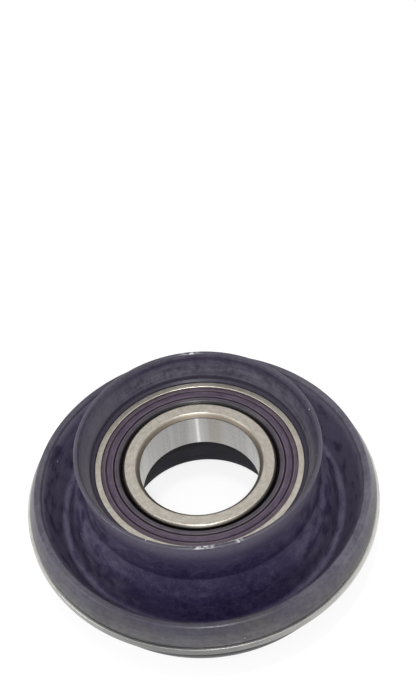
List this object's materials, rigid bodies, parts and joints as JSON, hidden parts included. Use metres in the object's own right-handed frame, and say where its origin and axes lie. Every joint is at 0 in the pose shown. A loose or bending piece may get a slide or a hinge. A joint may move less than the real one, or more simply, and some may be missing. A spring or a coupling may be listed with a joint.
{
  "type": "driveshaft centre bearing",
  "caption": "Sealed ball bearing in a round black rubber cushion with a flared cup lip, a thick roll and a steel plate in its rim, which carries the middle of a split driveshaft.",
  "frame": {"origin": "middle of the bearing, on the axis of the shaft bore", "axes": "+Z along the shaft, out of the cushion's cup; the collar and the roll are on the -Z side"},
  "size_m": [0.105, 0.105, 0.0423],
  "materials": {
    "rubber": "satin moulded rubber",
    "plate_steel": "bare sheet",
    "ring_steel": "ground",
    "ball_steel": "polished",
    "cage_steel": "pressed sheet",
    "seal_rubber": "matte moulded rubber"
  },
  "bodies": {
    "housing": {"rubber_cushion": "rubber", "rim_plate": "plate_steel", "outer_ring": "ring_steel", "upper_seal": "seal_rubber", "lower_seal": "seal_rubber", "upper_seal_stiffener": "cage_steel", "lower_seal_stiffener": "cage_steel"},
    "inner_race": {"inner_ring": "ring_steel"},
    "cage": {"upper_cage_half": "cage_steel", "lower_cage_half": "cage_steel", "cage_rivets": "cage_steel"},
    "ball_01_body": {"ball_01": "ball_steel"},
    "ball_02_body": {"ball_02": "ball_steel"},
    "ball_03_body": {"ball_03": "ball_steel"},
    "ball_04_body": {"ball_04": "ball_steel"},
    "ball_05_body": {"ball_05": "ball_steel"},
    "ball_06_body": {"ball_06": "ball_steel"},
    "ball_07_body": {"ball_07": "ball_steel"},
    "ball_08_body": {"ball_08": "ball_steel"},
    "ball_09_body": {"ball_09": "ball_steel"},
    "ball_10_body": {"ball_10": "ball_steel"},
    "ball_11_body": {"ball_11": "ball_steel"}
  },
  "joints": [
    {"name": "shaft_spin", "type": "hinge", "parent": "housing", "child": "inner_race", "pos_m": [0, 0, 0], "axis": [0, 0, 1], "continuous": true},
    {"name": "cage_spin", "type": "hinge", "parent": "housing", "child": "cage", "pos_m": [0, 0, 0], "axis": [0, 0, 1], "continuous": true},
    {"name": "ball_01_roll", "type": "hinge", "parent": "cage", "child": "ball_01_body", "pos_m": [0.02425, 0, 0], "axis": [0, 0, 1], "continuous": true},
    {"name": "ball_02_roll", "type": "hinge", "parent": "cage", "child": "ball_02_body", "pos_m": [0.0204, 0.01311, 0], "axis": [0, 0, 1], "continuous": true},
    {"name": "ball_03_roll", "type": "hinge", "parent": "cage", "child": "ball_03_body", "pos_m": [0.01007, 0.02206, 0], "axis": [0, 0, 1], "continuous": true},
    {"name": "ball_04_roll", "type": "hinge", "parent": "cage", "child": "ball_04_body", "pos_m": [-0.00345, 0.024, 0], "axis": [0, 0, 1], "continuous": true},
    {"name": "ball_05_roll", "type": "hinge", "parent": "cage", "child": "ball_05_body", "pos_m": [-0.01588, 0.01833, 0], "axis": [0, 0, 1], "continuous": true},
    {"name": "ball_06_roll", "type": "hinge", "parent": "cage", "child": "ball_06_body", "pos_m": [-0.02327, 0.00683, 0], "axis": [0, 0, 1], "continuous": true},
    {"name": "ball_07_roll", "type": "hinge", "parent": "cage", "child": "ball_07_body", "pos_m": [-0.02327, -0.00683, 0], "axis": [0, 0, 1], "continuous": true},
    {"name": "ball_08_roll", "type": "hinge", "parent": "cage", "child": "ball_08_body", "pos_m": [-0.01588, -0.01833, 0], "axis": [0, 0, 1], "continuous": true},
    {"name": "ball_09_roll", "type": "hinge", "parent": "cage", "child": "ball_09_body", "pos_m": [-0.00345, -0.024, 0], "axis": [0, 0, 1], "continuous": true},
    {"name": "ball_10_roll", "type": "hinge", "parent": "cage", "child": "ball_10_body", "pos_m": [0.01007, -0.02206, 0], "axis": [0, 0, 1], "continuous": true},
    {"name": "ball_11_roll", "type": "hinge", "parent": "cage", "child": "ball_11_body", "pos_m": [0.0204, -0.01311, 0], "axis": [0, 0, 1], "continuous": true}
  ],
  "couplings": [
    {"joint": "cage_spin", "follows": "shaft_spin", "ratio": 0.41817},
    {"joint": "ball_01_roll", "follows": "shaft_spin", "ratio": -2.9731},
    {"joint": "ball_02_roll", "follows": "shaft_spin", "ratio": -2.9731},
    {"joint": "ball_03_roll", "follows": "shaft_spin", "ratio": -2.9731},
    {"joint": "ball_04_roll", "follows": "shaft_spin", "ratio": -2.9731},
    {"joint": "ball_05_roll", "follows": "shaft_spin", "ratio": -2.9731},
    {"joint": "ball_06_roll", "follows": "shaft_spin", "ratio": -2.9731},
    {"joint": "ball_07_roll", "follows": "shaft_spin", "ratio": -2.9731},
    {"joint": "ball_08_roll", "follows": "shaft_spin", "ratio": -2.9731},
    {"joint": "ball_09_roll", "follows": "shaft_spin", "ratio": -2.9731},
    {"joint": "ball_10_roll", "follows": "shaft_spin", "ratio": -2.9731},
    {"joint": "ball_11_roll", "follows": "shaft_spin", "ratio": -2.9731}
  ]
}
